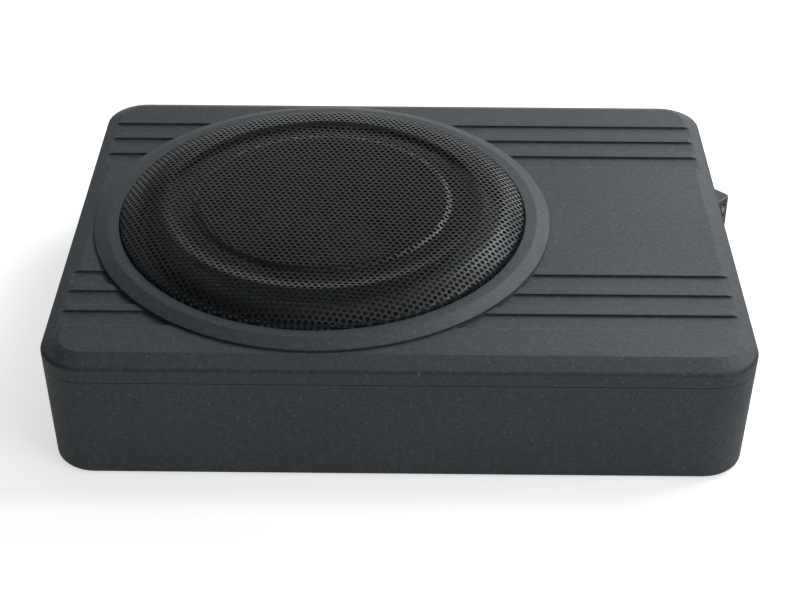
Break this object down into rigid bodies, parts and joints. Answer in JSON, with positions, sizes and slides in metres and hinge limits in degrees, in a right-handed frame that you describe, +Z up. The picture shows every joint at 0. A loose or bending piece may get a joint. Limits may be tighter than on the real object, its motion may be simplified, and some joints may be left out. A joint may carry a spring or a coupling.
{
  "type": "powered car subwoofer",
  "caption": "Slim flat-box powered subwoofer for under a car seat, with a round perforated grille, grooved lid and control panel at one end.",
  "frame": {"origin": "middle of the four bracket holes and of the case's footprint, on the plane the rubber feet and the inserts' collars stand on", "axes": "+X along the long side towards the control panel, +Y towards the back edge, +Z up through the grille"},
  "size_m": [0.357, 0.261, 0.0819],
  "materials": {
    "case_paint": "matte",
    "black_rubber": "matte",
    "black_steel": "satin",
    "plated_steel": "satin",
    "brass": "satin",
    "nickel": "polished",
    "cone_paper": "matte",
    "spider_cloth": "matte",
    "coil_film": "satin",
    "copper": "satin",
    "ferrite": "matte",
    "fibre_board": "matte",
    "circuit_board": "satin",
    "wire_sheath": "satin",
    "bar_aluminium": "satin",
    "chip_black": "matte",
    "black_plastic": "satin",
    "jack_colours": "satin",
    "white_nylon": "satin",
    "led_blue": "gloss",
    "fuse_amber": "gloss"
  },
  "bodies": {
    "case": {"top_shell": "case_paint", "base_tray": "case_paint", "seam_gasket": "black_rubber", "case_screws": "plated_steel", "rubber_feet": "black_rubber", "bracket_inserts": "brass", "trim_ring": "case_paint", "ring_push_nuts": "plated_steel", "grille_mesh": "black_steel", "woofer_basket": "black_steel", "woofer_gasket": "black_rubber", "woofer_screws": "plated_steel", "surround": "black_rubber", "spider": "spider_cloth", "back_yoke": "plated_steel", "magnet": "ferrite", "front_plate": "plated_steel", "terminal_strip": "fibre_board", "tinsel_leads": "copper", "speaker_wires": "wire_sheath", "main_board": "circuit_board", "board_standoffs": "brass", "board_screws": "plated_steel", "heat_bar": "bar_aluminium", "heat_bar_screws": "plated_steel", "power_transistors": "chip_black", "transistor_clamp": "black_steel", "transformer_core": "ferrite", "transformer_winding": "copper", "filter_capacitors": "chip_black", "output_inductor": "ferrite", "end_panel": "black_steel", "panel_screws": "plated_steel", "control_board": "circuit_board", "ribbon_cable": "wire_sheath", "potentiometers": "plated_steel", "phase_switch_body": "black_steel", "rca_housing": "black_plastic", "rca_barrels": "nickel", "rca_inserts": "jack_colours", "high_level_socket": "white_nylon", "high_level_pins": "brass", "remote_socket": "black_plastic", "led_lens": "led_blue", "power_header": "black_plastic", "power_plug": "black_plastic", "plug_clamps": "plated_steel", "fuse_holder": "black_plastic", "blade_fuse": "fuse_amber"},
    "cone_assembly": {"cone": "cone_paper", "dust_cap": "cone_paper", "coil_former": "coil_film", "coil_winding": "copper"},
    "gain_control": {"gain_knob": "black_plastic", "gain_shaft": "plated_steel"},
    "crossover_control": {"crossover_knob": "black_plastic", "crossover_shaft": "plated_steel"},
    "boost_control": {"boost_knob": "black_plastic", "boost_shaft": "plated_steel"},
    "phase_switch": {"phase_switch_lever": "black_plastic"}
  },
  "joints": [
    {"name": "cone_travel", "type": "slide", "parent": "case", "child": "cone_assembly", "axis": [0, 0, 1], "range_m": [-0.005, 0.005], "stiffness_N_per_m": 1500, "deforming": ["surround", "spider", "tinsel_leads"]},
    {"name": "gain_turn", "type": "hinge", "parent": "case", "child": "gain_control", "pos_m": [0.1661, -0.03, 0.033], "axis": [1, 0, 0], "range_deg": [-140, 140]},
    {"name": "crossover_turn", "type": "hinge", "parent": "case", "child": "crossover_control", "pos_m": [0.1661, -0.009, 0.033], "axis": [1, 0, 0], "range_deg": [-140, 140]},
    {"name": "boost_turn", "type": "hinge", "parent": "case", "child": "boost_control", "pos_m": [0.1661, 0.012, 0.033], "axis": [1, 0, 0], "range_deg": [-140, 140]},
    {"name": "phase_slide", "type": "slide", "parent": "case", "child": "phase_switch", "axis": [0, 1, 0], "range_m": [0, 0.0044]}
  ]
}
